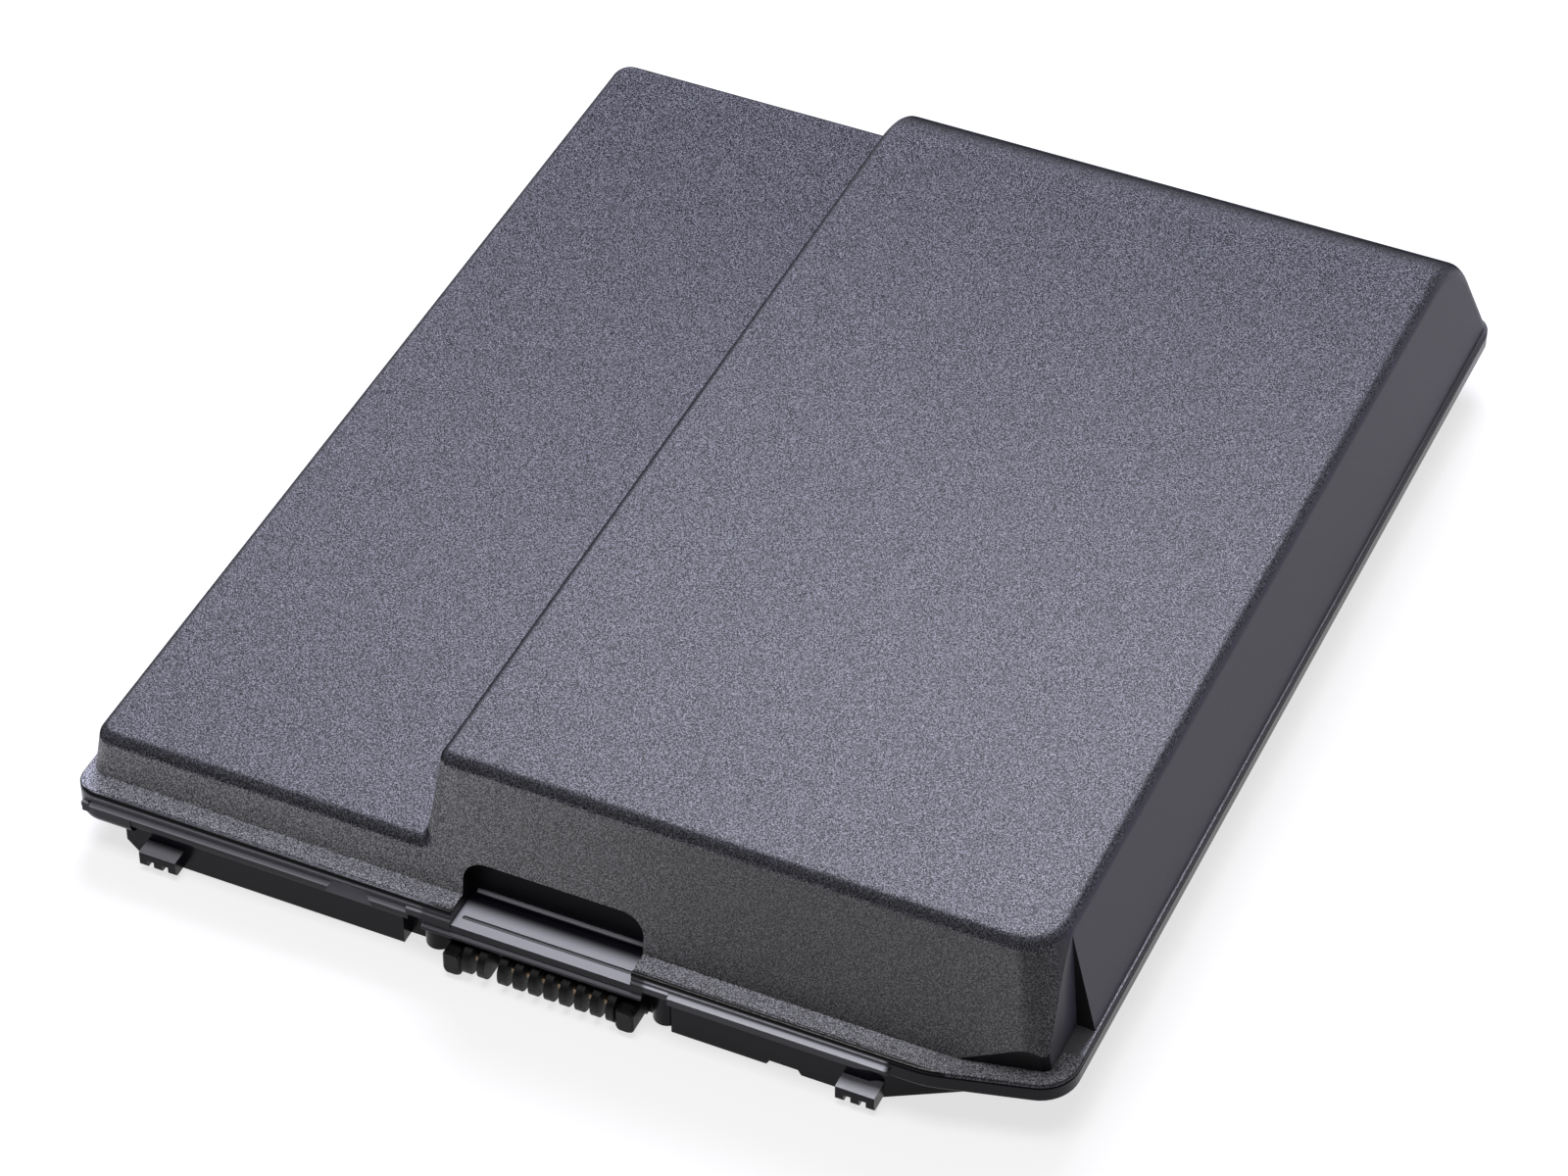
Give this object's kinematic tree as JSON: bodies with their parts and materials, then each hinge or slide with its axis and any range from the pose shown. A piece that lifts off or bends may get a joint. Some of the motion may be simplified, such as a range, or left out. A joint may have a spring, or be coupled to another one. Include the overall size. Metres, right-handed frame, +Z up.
{
  "type": "laptop battery",
  "caption": "Removable battery pack for a portable computer: flat stepped plastic case with a rim, a finger recess and a blade connector on the front edge.",
  "frame": {"origin": "middle of the underside", "axes": "+X to the right along the connector edge seen from that edge, +Y from the connector edge to the back, +Z up"},
  "size_m": [0.1266, 0.1548, 0.0286],
  "materials": {
    "cover_plastic": "fine grain",
    "case_plastic": "satin",
    "connector_plastic": "matte",
    "contact_metal": "plated",
    "board": "solder mask",
    "chip": "moulded",
    "fuse_ceramic": "glazed",
    "resistor": "satin",
    "capacitor": "satin",
    "sensor": "film",
    "nickel": "satin",
    "foam": "foam",
    "cell_can": "satin"
  },
  "bodies": {
    "root": {"upper_cover": "cover_plastic", "lower_case": "case_plastic", "connector_housing": "connector_plastic", "contacts": "contact_metal", "circuit_board": "board", "gauge_chip": "chip", "mosfets": "chip", "fuse": "fuse_ceramic", "sense_resistor": "resistor", "capacitors": "capacitor", "thermistor": "sensor", "front_bus": "nickel", "middle_link": "nickel", "rear_bus": "nickel", "return_strip": "nickel", "sense_strip": "nickel", "layer_tape": "foam", "low_pad": "foam", "top_pads": "foam", "cell_01": "cell_can", "cell_02": "cell_can", "cell_03": "cell_can", "cell_04": "cell_can", "cell_05": "cell_can", "cell_06": "cell_can", "cell_07": "cell_can", "cell_08": "cell_can", "cell_09": "cell_can", "cell_10": "cell_can"}
  },
  "joints": []
}
